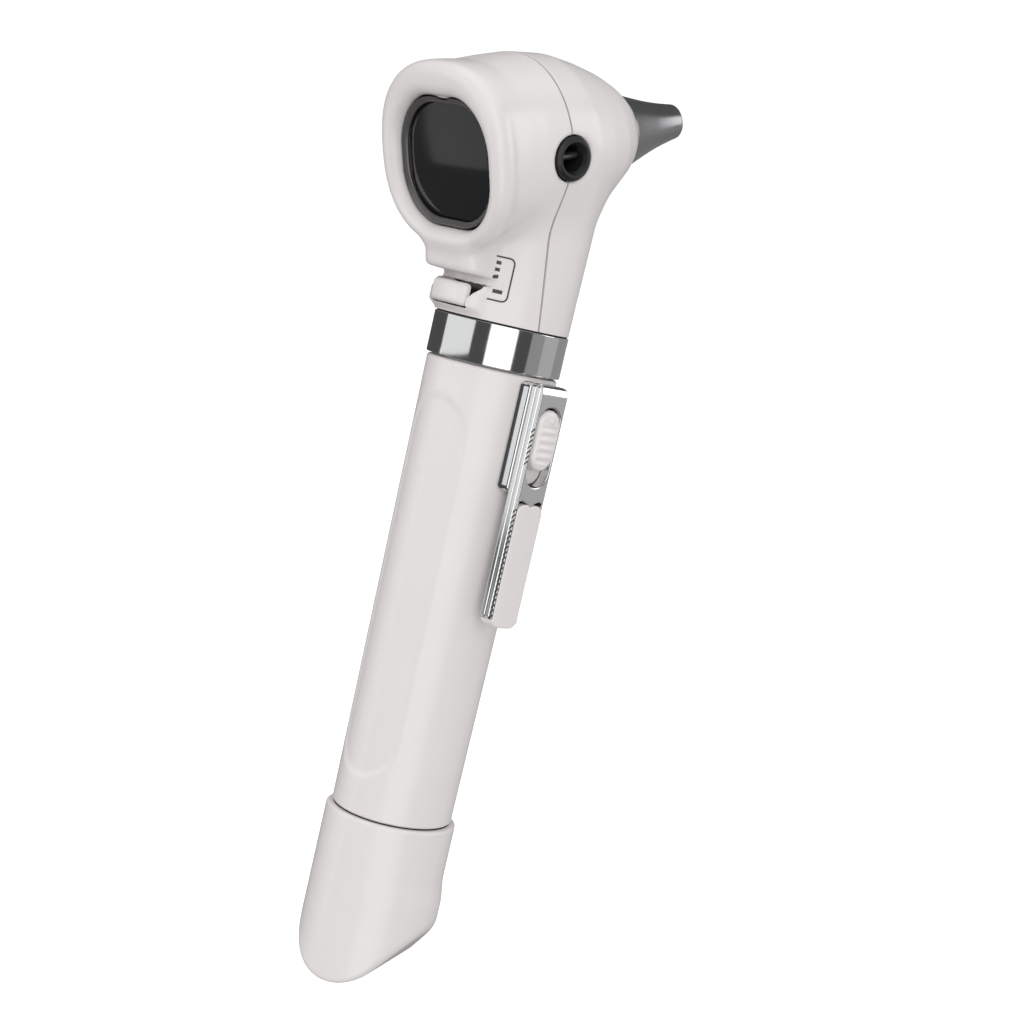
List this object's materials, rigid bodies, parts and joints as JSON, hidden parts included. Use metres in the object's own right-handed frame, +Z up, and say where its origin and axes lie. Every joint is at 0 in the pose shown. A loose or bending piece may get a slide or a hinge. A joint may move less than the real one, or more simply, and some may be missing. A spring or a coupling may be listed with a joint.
{
  "type": "pocket otoscope",
  "caption": "Pocket otoscope: a battery handle with pen clip, slide switch and slanted end cap, and a two-shell head with viewing window, side port and ear speculum.",
  "frame": {"origin": "the middle of the grip, on the handle's axis", "axes": "+Z up the handle towards the head, +Y towards the patient (the speculum's side, the user looks in from -Y), +X on the side of the clip and the insufflation port"},
  "size_m": [0.0294, 0.0483, 0.1418],
  "materials": {
    "white_plastic": "satin, fine grain",
    "chrome": "polished",
    "black_plastic": "satin",
    "rubber": "matt",
    "dark_metal": "dark anodised",
    "brass": "plain",
    "spring_steel": "plain",
    "circuit_board": "satin",
    "lens_glass": "polished",
    "light_guide": "polished",
    "speculum_plastic": "polished",
    "cell_wrap": "gloss"
  },
  "bodies": {
    "handle": {"handle_tube": "white_plastic", "collar_ring": "chrome", "lamp_housing": "dark_metal", "led_emitter": "light_guide", "lamp_board": "circuit_board", "positive_contact": "brass", "contact_strip": "brass", "neck_gasket": "rubber", "switch_base": "chrome", "switch_bezel": "chrome", "slider_track": "white_plastic", "clip_rivet_1": "spring_steel", "clip_rivet_2": "spring_steel"},
    "head": {"rear_housing": "white_plastic", "front_housing": "white_plastic", "neck_insert": "dark_metal", "light_guide": "light_guide", "sight_tube": "black_plastic", "nose_cone": "dark_metal", "fibre_ring": "light_guide", "insufflation_port": "black_plastic"},
    "release": {"release_tab": "white_plastic"},
    "lens": {"lens_bezel": "black_plastic", "viewing_lens": "lens_glass", "lens_retainer": "black_plastic"},
    "speculum": {"speculum": "speculum_plastic"},
    "switch": {"switch_slider": "white_plastic", "sliding_contact": "brass"},
    "clip": {"clip_arm": "chrome", "clip_cover": "white_plastic"},
    "seal": {"cap_seal": "rubber"},
    "cap": {"end_cap": "white_plastic", "battery_spring": "spring_steel", "spring_plate": "spring_steel"},
    "battery": {"battery_can": "cell_wrap", "battery_button": "spring_steel"}
  },
  "joints": [
    {"name": "head_lift", "type": "slide", "parent": "handle", "child": "head", "axis": [0, 0, 1], "range_m": [0, 0.02]},
    {"name": "release_press", "type": "slide", "parent": "head", "child": "release", "axis": [0, 1, 0], "range_m": [0, 0.0007], "stiffness_N_per_m": 600},
    {"name": "lens_pull", "type": "slide", "parent": "head", "child": "lens", "axis": [0, -0.9379, -0.3469], "range_m": [0, 0.015]},
    {"name": "speculum_pull", "type": "slide", "parent": "head", "child": "speculum", "axis": [0, 0.9379, 0.3469], "range_m": [0, 0.02]},
    {"name": "switch_slide", "type": "slide", "parent": "handle", "child": "switch", "axis": [0, 0, -1], "range_m": [0, 0.002]},
    {"name": "clip_flex", "type": "hinge", "parent": "handle", "child": "clip", "pos_m": [0.01132, 0.00139, 0.01585], "axis": [0.1219, -0.9925, 0], "range_deg": [0, 6], "stiffness_Nm_per_rad": 0.6},
    {"name": "cap_pull", "type": "slide", "parent": "handle", "child": "seal", "axis": [0, 0, -1], "range_m": [0, 0.03]},
    {"name": "cap_twist", "type": "hinge", "parent": "seal", "child": "cap", "pos_m": [0, 0, -0.0368], "axis": [0, 0, 1], "range_deg": [-60, 0]},
    {"name": "battery_out", "type": "slide", "parent": "handle", "child": "battery", "axis": [0, 0, -1], "range_m": [0, 0.018]}
  ],
  "couplings": [
    {"joint": "battery_out", "follows": "cap_pull", "ratio": 0.6}
  ]
}
